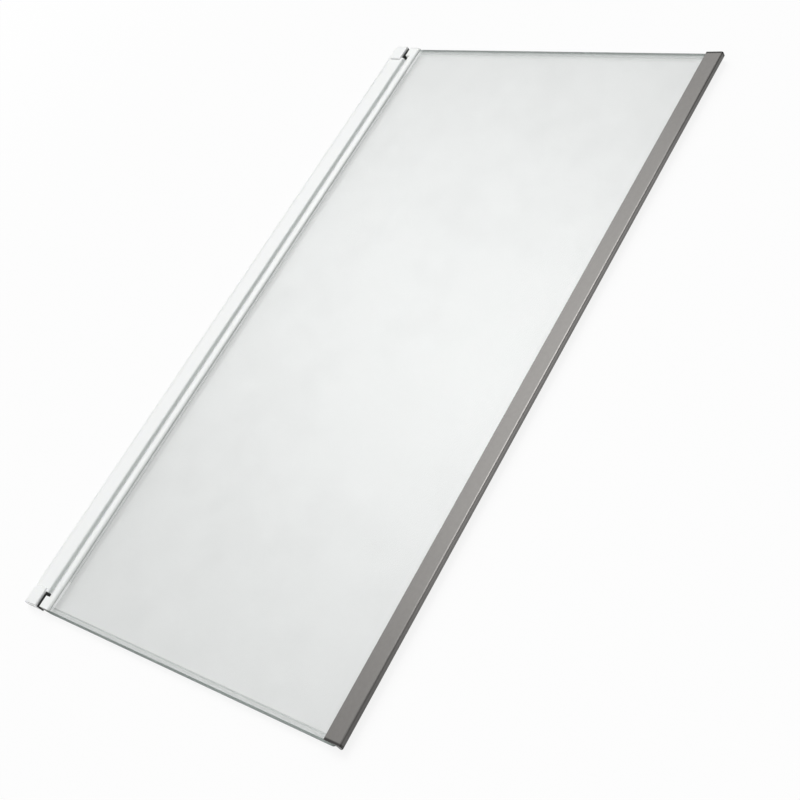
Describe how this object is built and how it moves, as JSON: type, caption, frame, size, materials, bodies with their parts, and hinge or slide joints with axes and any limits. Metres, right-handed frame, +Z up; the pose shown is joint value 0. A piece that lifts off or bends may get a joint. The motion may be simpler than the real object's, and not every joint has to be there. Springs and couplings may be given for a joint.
{
  "type": "fridge glass shelf",
  "caption": "Flat glass refrigerator shelf with a slim grey front trim and a milky rear trim with a ledge, corner lugs and slots.",
  "frame": {"origin": "middle of the shelf's footprint, on the plane that the undersides of both trims lie on", "axes": "+X along the shelf's long side, +Y from the front trim to the rear trim, +Z up through the glass"},
  "size_m": [0.474, 0.2696, 0.008],
  "materials": {
    "clear_glass": "clear float glass with ground edges",
    "grey_plastic": "satin moulded",
    "milky_plastic": "smooth moulded, slightly milky"
  },
  "bodies": {
    "root": {"glass_pane": "clear_glass", "front_trim": "grey_plastic", "rear_trim": "milky_plastic"}
  },
  "joints": []
}
